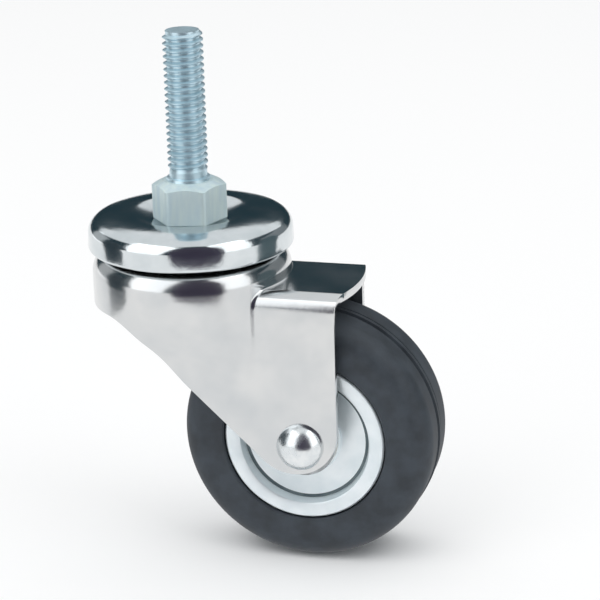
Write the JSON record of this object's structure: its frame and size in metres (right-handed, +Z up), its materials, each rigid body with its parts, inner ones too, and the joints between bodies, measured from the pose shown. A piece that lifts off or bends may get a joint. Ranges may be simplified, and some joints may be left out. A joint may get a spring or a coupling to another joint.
{
  "type": "furniture castor",
  "caption": "Swivel furniture castor with a threaded stem and hexagon, a ball-race head, a pressed steel fork and a rubber-tyred wheel on steel rim discs.",
  "frame": {"origin": "on the swivel axis, on the seat plane at the top of the hexagon, where the castor meets the furniture", "axes": "+Z up along the stem; the wheel trails towards +X; the axle lies along Y"},
  "size_m": [0.069, 0.0398, 0.103],
  "materials": {
    "stem_zinc": "blue-white zinc plate, satin",
    "cup_bright": "bright zinc plate, near mirror",
    "fork_zinc": "bright zinc plate, soft mirror",
    "rim_zinc": "zinc plate, satin",
    "rivet_bright": "bright zinc plate",
    "inner_steel": "plain steel, oiled",
    "tyre_rubber": "matte dark grey rubber",
    "bush_nylon": "natural nylon"
  },
  "bodies": {
    "stem": {"stem": "stem_zinc", "upper_race_cup": "cup_bright", "lower_race": "inner_steel"},
    "fork": {"fork": "fork_zinc", "upper_balls": "inner_steel", "lower_balls": "inner_steel", "axle_rivet": "rivet_bright", "axle_sleeve": "inner_steel", "washer_left": "inner_steel", "washer_right": "inner_steel"},
    "wheel": {"tyre": "tyre_rubber", "rim_disc_left": "rim_zinc", "rim_disc_right": "rim_zinc", "hub_tube": "inner_steel", "bush_left": "bush_nylon", "bush_right": "bush_nylon"}
  },
  "joints": [
    {"name": "swivel", "type": "hinge", "parent": "stem", "child": "fork", "pos_m": [0, 0, 0], "axis": [0, 0, 1], "continuous": true},
    {"name": "wheel_spin", "type": "hinge", "parent": "fork", "child": "wheel", "pos_m": [0.0241, 0, -0.049], "axis": [0, 1, 0], "continuous": true}
  ]
}
